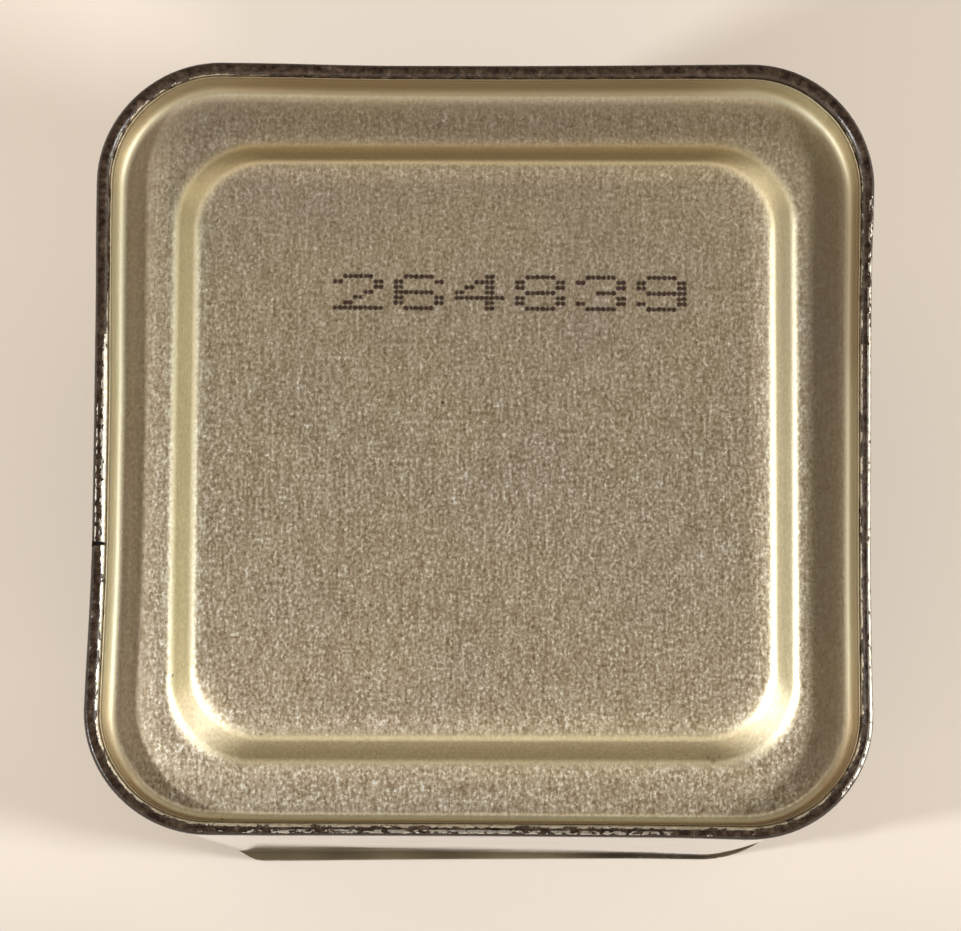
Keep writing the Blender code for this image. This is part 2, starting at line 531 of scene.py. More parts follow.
def store_flatness(piece):
    """Keeps on each point how flat the sheet is, and whether it is on the upturned wall."""

    def tilt(vert):
        return math.degrees(math.acos(min(1.0, abs(vert.normal.z))))

    def on_rim(vert):
        return float(inward_way(vert)[0] < RIM_REACH and tilt(vert) > RIM_TILT)

    store_values(piece, "flatness", lambda vert: clamp(1 - (tilt(vert) - FLAT_TILT[0]) / FLAT_TILT[1]))
    store_values(piece, "on_rim", on_rim)


def store_stain_and_shade(piece):
    """Keeps on each point how brown the sheet is: stained on the wall, painted shade in the crease
    under the hem and on the front and back of the drawn step.
    """

    def stain_and_shade(vert):
        inwards = inward_way(vert)[0] / MM
        side, place = side_and_place(vert)
        if inwards > STEP_INSIDE:
            across = (abs(vert.co.y) - abs(vert.co.x)) / MM
            return clamp(0.5 + across / STEP_TURNING) * STEP_PAINTED_SHADE[vert.co.y > 0]
        in_crease = max(0.0, 1 - max(0.0, inwards - CREASE_REACH[side]) / CREASE_FADE)
        brown = read_between(STAIN[side], place)
        if side == "back":
            start, span, least = BACK_STAIN
            brown *= max(least, 1 - max(0.0, inwards - start) / span)
        return brown + CREASE_PAINTED_SHADE[side] * in_crease

    store_values(piece, "stain_and_shade", stain_and_shade)


def step_haze_and_highlight(vert):
    """How hazy the drawn step is at a point, and how much painted highlight it gets: most at its front
    left corner.
    """
    x, y = vert.co.x, vert.co.y
    if inward_way(vert)[0] < HAZE_INSIDE:
        return 0.0
    return STEP_HAZE_SHARE[x > 0, y > 0] * max(0.0, 1 - abs(abs(x) - abs(y)) / STEP_HAZE)


def store_painted_light(piece):
    """Keeps on each point its painted highlights and shade, how much grain shows, faded where the
    walls cast shadow, and the step's haziness with its painted highlight.
    """

    def read(table, vert):
        x, y = vert.co.x, vert.co.y
        inwards = inward_way(vert)[0] / MM
        share = clamp(0.5 + (abs(y) - abs(x)) / SIDE_TURNING)
        along_x = read_between(table["back" if y > 0 else "front"], inwards)
        along_y = read_between(table["right" if x > 0 else "left"], inwards)
        return along_x * share + along_y * (1 - share)

    def painted_light(vert):
        plain = read(PAINTED_LIGHT_RINGS, vert)
        return plain + (HAZE_PAINTED_LIGHT - plain) * step_haze_and_highlight(vert)

    store_values(piece, "painted_light", painted_light)
    store_values(piece, "grit", lambda vert: read(GRIT_FADED_IN_SHADE, vert))
    store_values(piece, "haze", step_haze_and_highlight)


# Pieces


def make_body(material):
    """Painted body: neck, wall, and the hem rolled over the edge of the bare end."""
    body = begin_rounded("tin_body", HALF, CORNER, HEM_FOOT)
    raise_face(TOP - HEM_RISE - HEM_FOOT)
    pick_cap(-1)
    for share, drop in UNDER_HEM:
        step_in(share * WALL_INSET, drop * MM)
    wall_top = min(vert.co.z for vert in bmesh.from_edit_mesh(body.data).verts) - WALL_HEAD
    wall_foot = LID_TOP + GAP
    raise_face(-WALL_HEAD)
    for _ in range(WALL_PARTS):
        raise_face((wall_foot - wall_top) / WALL_PARTS)
    step_in(NECK_INSET - WALL_INSET, 0.0)
    raise_face(LID_PANEL + GAP - wall_foot)
    pick_cap(1)
    round_in(HEM_OUTER, HEM_RISE, 0.0, QUARTER, ROUND_STEPS)
    round_in(HEM_INNER, HEM_RISE, QUARTER, math.pi, ROUND_STEPS)
    raise_face(HEM_FLOOR - TOP + HEM_RISE)
    bpy.ops.object.mode_set(mode="OBJECT")
    cut_nick(body)
    store_hem_wear(body)
    spread_hem(body)
    finish_piece(body, ["body"], material)


def cut_nick(body):
    """The nick in the hem at the front edge of the side seam, tapering inwards."""
    deselect_all()
    side = -(HALF + NICK_OUTSIDE)
    middle = side + NICK_LENGTH / 2
    size = (NICK_LENGTH, NICK_WIDTH, MM)
    bpy.ops.mesh.primitive_cube_add(size=1, location=(middle, SEAM_FRONT, TOP), scale=size)
    cutter = bpy.context.object
    keep_place()
    for vert in cutter.data.vertices:
        if vert.co.x > middle:
            vert.co.y = SEAM_FRONT + (vert.co.y - SEAM_FRONT) * NICK_TAPER
            vert.co.z += NICK_RISE
    select_only(body)
    cut = body.modifiers.new("nick", "BOOLEAN")
    cut.object = cutter
    cut.operation = "DIFFERENCE"
    bpy.ops.object.modifier_apply(modifier=cut.name)
    bpy.data.objects.remove(cutter, do_unlink=True)


def make_seam(material):
    """Lapped side seam: a flat raised strip down the left wall."""
    deselect_all()
    foot = LID_TOP + 2 * GAP
    height = HEM_FOOT - GAP - foot
    place = (-HALF + WALL_INSET, SEAM_FRONT + SEAM_WIDTH / 2, foot + height / 2)
    size = (2 * SEAM_RISE, SEAM_WIDTH, height)
    bpy.ops.mesh.primitive_cube_add(size=1, location=place, scale=size)
    seam = bpy.context.object
    seam.name = seam.data.name = "side_seam"
    keep_place()
    bpy.ops.object.mode_set(mode="EDIT")
    bpy.ops.mesh.select_all(action="SELECT")
    bpy.ops.mesh.bevel(offset=SEAM_EDGE, segments=3, profile=0.5)
    finish_piece(seam, [], material)


def make_end(material):
    """Bare end: a lip under the hem, a wall, a dished floor and the raised panel."""
    end = begin_rounded("base_panel", HALF - LIP_INSET, CORNER - LIP_INSET, LIP_FOOT - LIP_SIDE)
    raise_face(LIP_SIDE)
    pick_cap(-1)
    step_in(END_INSET - LIP_INSET, 0.0)
    raise_face(END_FLOOR - LIP_FOOT + LIP_SIDE)
    pick_cap(1)
    step_in(0.6 * LIP_WIDTH, 0.75 * (WALL_TOP - LIP_FOOT))
    step_in(0.4 * LIP_WIDTH, 0.25 * (WALL_TOP - LIP_FOOT))
    step_in(LIP_TURN, -LIP_TURN / 2)
    fillet_drop = WALL_FILLET * (1 - math.sin(WALL_LEAN))
    wall_run = WALL_FOOT_INSET - LIP_INSET - LIP_WIDTH - LIP_TURN
    wall_drop = WALL_TOP - LIP_TURN / 2 - FLAT - fillet_drop
    for _ in range(WALL_PARTS):
        step_in(wall_run / WALL_PARTS, -wall_drop / WALL_PARTS)
    round_in(WALL_FILLET, -WALL_FILLET, WALL_LEAN, QUARTER, ROUND_STEPS)
    floor_edge = HALF - WALL_FOOT_INSET - WALL_FILLET * math.cos(WALL_LEAN)
    floor_step = (floor_edge - STEP_FOOT_HALF) / DISH_STEPS
    height = FLAT
    for step in range(DISH_STEPS):
        slope = DISH_SLOPE * (1 - (1 - (step + 0.5) / DISH_STEPS) ** 2)
        step_in(floor_step, floor_step * math.tan(slope))
        height += floor_step * math.tan(slope)
    draw_step(PANEL_TOP - height)
    bpy.ops.object.mode_set(mode="OBJECT")
    for vert in end.data.vertices:
        on_lip = max(abs(vert.co.x), abs(vert.co.y)) > STEP_FOOT_HALF
        if on_lip and vert.co.z > LIP_FOOT - NEAR:
            vert.co.z += LIP_LIFT * cornerness(vert)
    store_flatness(end)
    store_stain_and_shade(end)
    store_painted_light(end)
    spread_hem(end)
    seat_step(end, floor_edge, height)
    finish_piece(end, ["base_end"], material)


def cornerness(vert):
    """Rises from 0 along the sides to 1 round the corners."""
    return clamp((min(abs(vert.co.x), abs(vert.co.y)) - LIFT_FROM) / LIFT_SPAN)


def seat_step(end, floor_edge, foot_height):
    """Moves the drawn step off the middle and askew, and the floor round it in step."""
    for vert in end.data.vertices:
        x, y = vert.co.x, vert.co.y
        half = HALF - inward_way(vert)[0]
        share = clamp((floor_edge - half) / (floor_edge - STEP_FOOT_HALF))
        if vert.co.z < FLAT - NEAR:
            share = 0.0
        risen = clamp((vert.co.z - foot_height) / (PANEL_TOP - foot_height))
        shift_x, shift_y = (
            foot + (top - foot) * risen for foot, top in zip(STEP_FOOT_SHIFT, STEP_TOP_SHIFT)
        )
        vert.co.x += share * (shift_x + STEP_TURN[0] * y - STEP_NARROWING * x)
        vert.co.y += share * (shift_y + STEP_TURN[1] * x)


def draw_step(rise):
    """The drawn step: a fillet, a straight slope, a rounded edge and a slightly crowned panel."""
    fillet = arc_moves(STEP_RADIUS, DISH_SLOPE, STEP_ANGLE)
    edge = arc_moves(STEP_RADIUS, CROWN_SLOPES[0], STEP_ANGLE)[::-1]
    crown = [(CROWN_STEP, CROWN_STEP * math.tan(tilt)) for tilt in CROWN_SLOPES]
    straight_rise = rise - sum(along for _, along in fillet + edge + crown)
    slope = (straight_rise / math.tan(STEP_ANGLE) / 2, straight_rise / 2)
    moves = fillet + [slope, slope] + edge
    run = sum(inwards for inwards, _ in moves)
    for inwards, along in moves:
        step_in(inwards, along)

    def corner_at(half):
        return STEP_FOOT_CORNER + (STEP_TOP_CORNER - STEP_FOOT_CORNER) * (STEP_FOOT_HALF - half) / run

    open_corners(STEP_FOOT_HALF, corner_at)
    for inwards, along in crown:
        step_in(inwards, along)
    step_in(PANEL_BORDER, 0.0)


def arc_moves(radius, start, end):
    """Insets and rises along a hollow arc whose slope goes from one angle to another."""
    moves = []
    for step in range(ROUND_STEPS):
        a = start + (end - start) * step / ROUND_STEPS
        b = start + (end - start) * (step + 1) / ROUND_STEPS
        moves.append((radius * (math.sin(b) - math.sin(a)), radius * (math.cos(a) - math.cos(b))))
    return moves


def make_lid(material):
    """Slip lid, mouth up, with a beaded rim and a grooved resting face."""
    bead_foot = LID_TOP - LID_BEAD_HEIGHT
    lid = begin_rounded("slip_lid", LID_HALF, CORNER + LID_HALF - HALF, bead_foot + LID_BEAD)
    raise_face(LID_BEAD_HEIGHT - 2 * LID_BEAD)
    pick_cap(-1)
    step_in(0.3 * LID_BEAD, 0.2 * LID_BEAD)
    step_in(0.7 * LID_BEAD, 0.8 * LID_BEAD)
    for _ in range(LID_WALL_PARTS):
        raise_face((LID_EDGE - bead_foot) / LID_WALL_PARTS)
    round_in(LID_EDGE, LID_EDGE, 0.0, QUARTER, ROUND_STEPS)
    step_in(LID_HALF - LID_BEAD - LID_EDGE - GROOVE_HALF, 0.0)
    down = ((0.15, -0.25), (0.15, -0.5), (0.15, -0.25))
    up = ((0.15, 0.25), (0.15, 0.5), (0.15, 0.25))
    for share, along in (*down, (0.1, 0.0), *up):
        step_in(share * GROOVE_WIDTH, along * GROOVE_DEPTH)
    open_corners(GROOVE_HALF, lambda half: GROOVE_CORNER - GROOVE_HALF + half)
    pick_cap(1)
    round_in(LID_BEAD, LID_BEAD, 0.0, QUARTER, 3)
    step_in(NECK_INSET - GAP - 2 * LID_BEAD, 0.0)
    step_in(0.5 * LID_BEAD, -0.1 * LID_BEAD)
    step_in(0.5 * LID_BEAD, -0.9 * LID_BEAD)
    raise_face(LID_PANEL - LID_TOP + LID_BEAD)
    bpy.ops.object.mode_set(mode="OBJECT")
    store_values(lid, "edge", lid_edge)
    store_values(lid, "turned", turned)
    lid.rotation_euler.z = LID_TURN
    keep_place()
    dent_corner(lid)
    finish_piece(lid, ["lid"], material)


def lid_edge(vert):
    """How much a point lies on an edge that rubs, 1 on the bead and the foot of the lid."""
    if inward_way(vert)[0] > RUB_DEPTH:
        return 0.0
    on_bead = max(0.0, 1 - abs(vert.co.z - LID_TOP + 0.5 * LID_BEAD) / BEAD_RUB)
    on_foot = max(0.0, 1 - abs(vert.co.z - FOOT_HEIGHT) / FOOT_RUB)
    return max(on_bead, on_foot)


def dent_corner(lid):
    """Pushes the lid's front left corner flat."""
    out_x, out_y = -math.cos(DENT_TURN), -math.sin(DENT_TURN)
    for vert in lid.data.vertices:
        beyond = vert.co.x * out_x + vert.co.y * out_y - DENT_REACH
        if beyond < -DENT_MARGIN:
            continue
        pushed = -DENT_SOFTNESS * math.log(1 + math.exp(-beyond / DENT_SOFTNESS)) - beyond
        vert.co.x += pushed * out_x
        vert.co.y += pushed * out_y


DIGITS = "264839"
DIGIT_PLACE = (-14.4 * MM, 13.5 * MM)  # the lowest dot of the first digit
DOT_PITCH = (0.493 * MM, 0.52 * MM)
DIGIT_PITCH = 12  # dots from one digit to the next
DOT_SIDES = 10
DOT_RADIUS = 0.275 * MM
DOT_FLATNESS = 0.93  # the dots are a little wider than tall
INK_DEPTH = 0.02 * MM  # dots that overlap lie at three slightly different heights
DIGIT_ROWS = {
    "2": (" ### ", "#   #", "    #", "   # ", "  #  ", " #   ", "#####"),
    "3": (" ### ", "#   #", "    #", "  ## ", "    #", "#   #", " ### "),
    "4": ("   # ", "  ## ", " # # ", "#  # ", "#####", "   # ", "   # "),
    "6": (" ### ", "#   #", "#    ", "#### ", "#   #", "#   #", " ### "),
    "8": (" ### ", "#   #", "#   #", " ### ", "#   #", "#   #", " ### "),
    "9": (" ### ", "#   #", "#   #", " ####", "    #", "#   #", " ### "),
}


def make_dot():
    """One ink dot, which thins towards its rim."""
    deselect_all()
    bpy.ops.mesh.primitive_cylinder_add(vertices=DOT_SIDES, radius=DOT_RADIUS, depth=INK_DEPTH)
    dot = bpy.context.object
    bpy.ops.object.mode_set(mode="EDIT")
    pick_cap(1)
    step_in(0.35 * DOT_RADIUS, 0.0)
    step_in(0.35 * DOT_RADIUS, 0.0)
    bpy.ops.object.mode_set(mode="OBJECT")
    store_values(dot, "ink", lambda vert: 1 - math.hypot(vert.co.x, vert.co.y) / DOT_RADIUS)
    dot.scale.y = DOT_FLATNESS
    keep_place()
    return dot


def make_digits(material):
    """Plain batch digits, sprayed as rows of ink dots, each stroke two dots wide."""
    dot = make_dot()
    dots = []
    for number, digit in enumerate(DIGITS):
        for row, marks in enumerate(reversed(DIGIT_ROWS[digit])):
            for column in range(2 * len(marks)):
                if marks[column // 2] == " ":
                    continue
                select_only(dot)
                bpy.ops.object.duplicate(linked=False)
                copy = bpy.context.object
                copy.location = (
                    DIGIT_PLACE[0] + (number * DIGIT_PITCH + column) * DOT_PITCH[0],
                    DIGIT_PLACE[1] + row * DOT_PITCH[1],
                    PANEL_TOP + 0.3 * INK_DEPTH * (1 + (column + 2 * row) % 3),
                )
                dots.append(copy)
    bpy.data.objects.remove(dot, do_unlink=True)
    select_only(dots[0])
    for copy in dots:
        copy.select_set(True)
    bpy.ops.object.join()
    digits = bpy.context.object
    digits.name = digits.data.name = "batch_digits"
    keep_place()
    finish_piece(digits, [], material)


# Helpers for materials

NOISE_MOST = (0.35, 0.65)  # most of a noise lies between these
NOISE_ALL = (0.3, 0.7)  # and nearly all of it between these


class Look:
    """The nodes of a material, group or world, and short ways to add more of them."""

    def __init__(self, tree):
        self.tree = tree

    def feed(self, socket, value):
        """Gives a socket what another one puts out, a colour, or a plain value."""
        if isinstance(value, bpy.types.NodeSocket):
            self.tree.links.new(value, socket)
        elif isinstance(value, tuple) and len(socket.default_value) == 4:
            socket.default_value = (*value, 1)
        else:
            socket.default_value = value

    def add(self, kind, inputs, **settings):
        """Adds a node, with its settings and what its inputs take, by name or number."""
        node = self.tree.nodes.new("ShaderNode" + kind)
        for name, value in settings.items():
            setattr(node, name, value)
        for name, value in inputs.items():
            self.feed(node.inputs[name], value)
        return node

    def place(self):
        """Where a point lies on its piece, in metres."""
        return self.add("TexCoord", {}).outputs["Object"]

    def parts(self, place):
        """The X, Y and Z of a place."""
        return self.add("SeparateXYZ", {"Vector": place}).outputs

    def kept(self, name):
        """A value kept on the points of a piece."""
        return self.add("Attribute", {}, attribute_name=name).outputs["Fac"]

    def noise(self, place, size, detail=2.0, roughness=0.5):
        """Soft random spots of about a given size, around 0.5."""
        inputs = {"Vector": place, "Scale": 1 / size, "Detail": detail, "Roughness": roughness}
        return self.add("TexNoise", inputs).outputs["Fac"]

    def stretch(self, place, scale):
        return self.add("Mapping", {"Vector": place, "Scale": scale}).outputs["Vector"]

    def spread(self, value, low, high, to_low=0.0, to_high=1.0):
        """Spreads a value between two levels, clamped."""
        names = ("Value", "From Min", "From Max", "To Min", "To Max")
        inputs = dict(zip(names, (value, low, high, to_low, to_high)))
        return self.add("MapRange", inputs).outputs["Result"]

    def math(self, operation, first, second=0):
        return self.add("Math", {0: first, 1: second}, operation=operation).outputs["Value"]

    def plus(self, first, *others):
        for other in others:
            first = self.math("ADD", first, other)
        return first

    def minus(self, first, second):
        return self.math("SUBTRACT", first, second)

    def times(self, first, *others):
        for other in others:
            first = self.math("MULTIPLY", first, other)
        return first

    def most(self, first, second):
        return self.math("MAXIMUM", first, second)

    def blend(self, share, first, second):
        """Goes from one value to another as the share rises from 0 to 1."""
        return self.plus(first, self.times(self.minus(second, first), share))

    def mix(self, share, first, second):
        """Goes from one colour to another as the share rises from 0 to 1."""
        inputs = {"Factor": share, "A": first, "B": second}
        return self.add("Mix", inputs, data_type="RGBA").outputs["Result"]

    def vector(self, operation, inputs, output="Vector"):
        return self.add("VectorMath", inputs, operation=operation).outputs[output]

    def bump(self, height, depth):
        inputs = {"Height": height, "Strength": 1.0, "Distance": depth}
        return self.add("Bump", inputs).outputs["Normal"]

    def use(self, group, **inputs):
        """Places a node group, and gives its outputs."""
        return self.add("Group", inputs, node_tree=group).outputs

    def surface(self, inputs):
        """Feeds the material's own shader."""
        for name, value in inputs.items():
            self.feed(self.tree.nodes["Principled BSDF"].inputs[name], value)


def begin_material(name):
    material = bpy.data.materials.new(name)
    material.use_nodes = True
    return material, Look(material.node_tree)


def begin_group(name, inputs, outputs):
    """A node group with named sockets, open for its nodes to be added."""
    group = bpy.data.node_groups.new(name, "ShaderNodeTree")
    for way, sockets in (("INPUT", inputs), ("OUTPUT", outputs)):
        for socket, kind in sockets.items():
            group.interface.new_socket(socket, in_out=way, socket_type="NodeSocket" + kind)
    given = group.nodes.new("NodeGroupInput").outputs
    wanted = group.nodes.new("NodeGroupOutput").inputs
    return group, Look(group), given, wanted


# Bare tinplate

GRAIN_SIZE = 0.30 * MM
GRAIN_STRETCH = (1, 0.72, 1)  # the grain is a little longer along the rolling direction, Y
GRAIN_HEIGHT = 0.02 * MM
GRAIN_CONTRAST = 2.85
GRAIN_TINT = (0.88, 1.06, 1.33)  # light grains are yellower than dark ones, by channel
GRAIN_PATCH = 1.1 * MM
GRAIN_PATCHES = (0.65, 1.35)
STREAK_WIDTH = 0.34 * MM
STREAK_STRETCH = (1, 0.16, 1)
STREAK_SHARE = 0.35
SPARK_SIZE = 0.24 * MM
SPARK = 0.16
GLINTS = (0.70, 0.80)  # the levels of a noise that make glints, and pits
PITS = (0.30, 0.22)
COARSE = (-2 * MM, 32 * MM, 1.0, 0.6)  # from and to a place in Y, and from and to a strength
# painted light: the sheet is painted brighter towards the front, where the lamps are nearer
PAINTED_FRONT_LIGHT = (-16 * MM, -34 * MM, 1.0, 1.17)
DRAWN_GRAIN = 0.2
TONE_SIZE = 1 / 60  # about 17 mm
RIM_ROUGHNESS = 0.52
DRAWN_ROUGHNESS = 0.42
HAZE_ROUGHNESS = 0.62
FLAT_ROUGHNESS = 0.54
FLAT_GREY = (0.480, 0.402, 0.306)
FLAT_BUFF = (0.490, 0.410, 0.287)
DRAWN_BUFF = (0.705, 0.670, 0.500)
# painted shade on the front and back slopes of the drawn step
DRAWN_SHADE = (0.640, 0.520, 0.315)
# painted highlight: the hazy corners of the drawn step are painted a pale cream, for the glow of the
# lamps on them
HAZE_HIGHLIGHT = (0.880, 0.820, 0.640)
RIM_KHAKI = (0.553, 0.518, 0.380)
# the wall's brown stain, and the painted shade in the crease under the hem
RIM_STAIN_AND_SHADE = (0.350, 0.270, 0.170)
SPECK_BROWN = (0.100, 0.056, 0.028)
SPECK_BLUR = 0.08 * MM
SPECK_BLUR_SIZE = 0.25 * MM
SPECKS = (  # small dark or rusty specks on the bare end: x, y and size in mm, and strength
    (-3.73, 4.25, 0.20, 0.9),
    (-29.9, -22.4, 0.18, 0.7),
    (-21.1, -28.2, 0.17, 0.7),
    (-15.8, -28.15, 0.15, 0.6),
    (-31.7, -33.2, 0.20, 0.7),
    (-24.9, -36.3, 0.16, 0.7),
    (22.2, -30.1, 0.30, 0.35),
    (22.7, -30.4, 0.38, 0.45),
    (23.3, -30.0, 0.24, 0.35),
    (36.3, -31.7, 0.22, 0.7),
)


def add_grain(look, place):
    """The fine grit of tinplate, 0 in the middle, a little longer along Y."""
    grit = look.noise(look.stretch(place, GRAIN_STRETCH), GRAIN_SIZE, 2.0, 0.62)
    streaks = look.noise(look.stretch(place, STREAK_STRETCH), STREAK_WIDTH, 1.0)
    uneven = look.spread(look.noise(place, GRAIN_PATCH, 2.0, 0.6), *NOISE_ALL, *GRAIN_PATCHES)
    grain = look.times(look.minus(grit, 0.5), uneven)
    streaks = look.times(look.minus(streaks, 0.5), STREAK_SHARE)
    sparks = look.noise(place, SPARK_SIZE, 0.0)
    glints = look.spread(sparks, *GLINTS, 0.0, SPARK)
    pits = look.spread(sparks, *PITS, 0.0, -SPARK)
    return look.plus(grain, glints, pits, streaks)


def add_specks(look, place):
    """A mask of the few specks that sit on the sheet."""
    blurred = look.noise(place, SPECK_BLUR_SIZE, 1.0)
    blurred = look.spread(blurred, *NOISE_ALL, -SPECK_BLUR, SPECK_BLUR)
    level = look.vector("MULTIPLY", {0: place, 1: (1, 1, 0)})
    masks = None
    for x, y, size, strength in SPECKS:
        away = look.vector("DISTANCE", {0: level, 1: (x * MM, y * MM, 0)}, "Value")
        away = look.plus(away, blurred)
        mask = look.spread(away, 0.25 * size * MM, size * MM, strength, 0.0)
        masks = mask if masks is None else look.most(masks, mask)
    return masks


def make_tinplate():
    """Bare tinplate: gritty where it is flat, smoother and yellower where it is drawn."""
    material, look = begin_material("bare tinplate")
    place = look.place()
    along = look.parts(place)["Y"]
    flatness = look.kept("flatness")
    on_rim = look.kept("on_rim")
    stain_and_shade = look.kept("stain_and_shade")
    haze = look.kept("haze")
    grain = add_grain(look, place)

    # The grit is coarser towards the front, and painted light brightens the sheet towards the front,
    # on its lit edges and in the glow at the step's corners
    coarseness = look.spread(along, *COARSE)
    strength = look.spread(flatness, 0.0, 1.0, DRAWN_GRAIN * GRAIN_CONTRAST, GRAIN_CONTRAST)
    # painted shade: the grain is faded where the walls cast shadow
    speckle = look.times(grain, look.times(strength, coarseness, look.kept("grit")))
    tinted = [look.math("EXPONENT", look.times(speckle, share)) for share in GRAIN_TINT]
    tinted = look.add("CombineXYZ", dict(zip("XYZ", tinted))).outputs["Vector"]
    front_painted_light = look.spread(along, *PAINTED_FRONT_LIGHT)
    front_painted_light = look.times(front_painted_light, look.kept("painted_light"))

    tone = look.spread(look.noise(place, TONE_SIZE, 3.0), *NOISE_MOST)
    flat = look.mix(tone, FLAT_GREY, FLAT_BUFF)
    drawn = look.mix(stain_and_shade, DRAWN_BUFF, DRAWN_SHADE)
    drawn = look.mix(haze, drawn, HAZE_HIGHLIGHT)
    colour = look.mix(flatness, drawn, flat)
    colour = look.mix(on_rim, colour, look.mix(stain_and_shade, RIM_KHAKI, RIM_STAIN_AND_SHADE))
    colour = look.mix(add_specks(look, place), colour, SPECK_BROWN)
    colour = look.vector("MULTIPLY", {0: colour, 1: tinted})
    colour = look.vector("SCALE", {0: colour, "Scale": front_painted_light})

    roughness = look.spread(haze, 0.0, 1.0, DRAWN_ROUGHNESS, HAZE_ROUGHNESS)
    roughness = look.blend(flatness, roughness, FLAT_ROUGHNESS)
    roughness = look.plus(roughness, look.times(on_rim, RIM_ROUGHNESS - DRAWN_ROUGHNESS))
    relief = look.bump(look.times(grain, flatness), GRAIN_HEIGHT)
    look.surface({"Base Color": colour, "Metallic": 1.0, "Roughness": roughness, "Normal": relief})
    return material


# Lacquer and the wear on it

PAINT_BLACK = (0.012, 0.008, 0.006)
PAINT_DARK = (0.013, 0.007, 0.005)
PAINT_BROWN = (0.052, 0.032, 0.020)
PAINT_DUSTY = (0.130, 0.094, 0.068)
FILM_DARK = (0.016, 0.010, 0.008)
FILM_BROWN = (0.030, 0.019, 0.014)
FILM_MARKED = (0.20, 0.17, 0.14)
FILM_HEIGHT = 0.02 * MM
NICK_SHADE = (0.003, 0.002, 0.002)
NICK_SHADE_SIZE = (0.75 * MM, 0.24 * MM)
THIN_OLIVE = (0.180, 0.140, 0.085)
WORN_DULL = (0.46, 0.42, 0.34)
WORN_BRIGHT = (0.80, 0.76, 0.68)
WORN_ROUGHNESS = 0.40
WEAR_STRETCH = 0.45  # the wear is streaked along the edge that it runs along
LID_WEAR = 0.45
WEAR_NEEDED = (0.80, 0.22)  # the level of fleck that shows metal, unworn and worn out
CLOUD_SIZE = 13 * MM
SMUDGE_SIZE = 24 * MM
SMUDGED = (0.50, 0.66)  # the levels of smudge between which hair scuffs come in
FILM_GLOSS = (0.40, 0.70, 0.03, 0.09)  # from and to a level, and from and to a roughness
DUST_SIZE = 0.6 * MM
DUST = (0.80, 0.84, 0.0, 0.4)
SCUFF_STRENGTH = 0.35
FINE_SIZE = 0.26 * MM
RAGGED_SIZE = 0.7 * MM
BLOT_SIZE = 0.75 * MM
BROWN_BLOTS = (0.36, 0.58)
DUSTY_BLOTS = (0.58, 0.72)
PAINT_TEETH = (0.47, 0.64, -0.04, 0.30)  # from and to a level, and from and to a reach in mm
PAINT_WOBBLE = 0.05
HEM_GLOSS = (0.18, 0.36)
THIN_PATCH = 15 * MM
THINNED = (0.38, 0.60, 0.15, 1.0)
HAIR_WIDTH = 0.45 * MM
HAIR_LINES = (0.72, 0.78)
HAIRS = ((0.5, 22), (-0.9, 30), (1.4, 16))  # each kind's turn, and its length against its width


def make_film_group():
    """Gloss lacquer: a little uneven in colour, with dull smudges, hair scuffs and dust."""
    inputs = {"Place": "Vector", "Scuffing": "Float"}
    outputs = {"Colour": "Color", "Roughness": "Float", "Height": "Float"}
    group, look, given, wanted = begin_group("lacquer film", inputs, outputs)
    place = given["Place"]
    cloud = look.noise(place, CLOUD_SIZE, 3.0, 0.6)
    smudge = look.noise(place, SMUDGE_SIZE, 4.0, 0.65)
    scuffs = None
    for turn, length in HAIRS:
        inputs = {"Vector": place, "Rotation": (turn, 0.7 * turn, turn), "Scale": (1, 1, length)}
        hair = look.add("Mapping", inputs, vector_type="TEXTURE").outputs["Vector"]
        lines = look.spread(look.noise(hair, HAIR_WIDTH, 1.0), *HAIR_LINES)
        scuffs = lines if scuffs is None else look.most(scuffs, lines)
    scuffs = look.times(scuffs, look.spread(smudge, *SMUDGED), given["Scuffing"])
    dust = look.spread(look.noise(place, DUST_SIZE, 0.0), *DUST)
    marks = look.most(look.times(scuffs, SCUFF_STRENGTH), dust)
    film = look.mix(look.spread(cloud, *NOISE_MOST), FILM_DARK, FILM_BROWN)
    dull = look.spread(smudge, *FILM_GLOSS)
    look.feed(wanted["Colour"], look.mix(marks, film, FILM_MARKED))
    look.feed(wanted["Roughness"], look.plus(dull, look.times(marks, 0.5)))
    look.feed(wanted["Height"], cloud)
    return group


def make_worn_edge_group():
    """Flecks of bright metal where paint is rubbed off along a strip."""
    inputs = {"Place": "Vector", "Strip": "Float", "Wear": "Float", "Turned": "Float"}
    outputs = {"Bare": "Float", "Metal": "Color", "Fine": "Float", "Ragged": "Float"}
    group, look, given, wanted = begin_group("worn edge", inputs, outputs)
    along_y = look.stretch(given["Place"], (1, WEAR_STRETCH, 1))
    along_x = look.stretch(given["Place"], (WEAR_STRETCH, 1, 1))

    def along_edge(size, detail, roughness):
        ways = [look.noise(way, size, detail, roughness) for way in (along_y, along_x)]
        return look.blend(given["Turned"], *ways)

    fine = along_edge(FINE_SIZE, 2.0, 0.6)
    ragged = along_edge(RAGGED_SIZE, 4.0, 0.7)
    flecks = look.times(look.plus(fine, ragged), 0.5, given["Strip"])
    needed = look.spread(given["Wear"], 0.0, 1.0, *WEAR_NEEDED)
    metal = look.mix(look.spread(fine, *NOISE_MOST), WORN_DULL, WORN_BRIGHT)
    look.feed(wanted["Bare"], look.spread(look.minus(flecks, needed), 0.0, 0.04))
    look.feed(wanted["Metal"], metal)
    look.feed(wanted["Fine"], fine)
    look.feed(wanted["Ragged"], ragged)
    return group


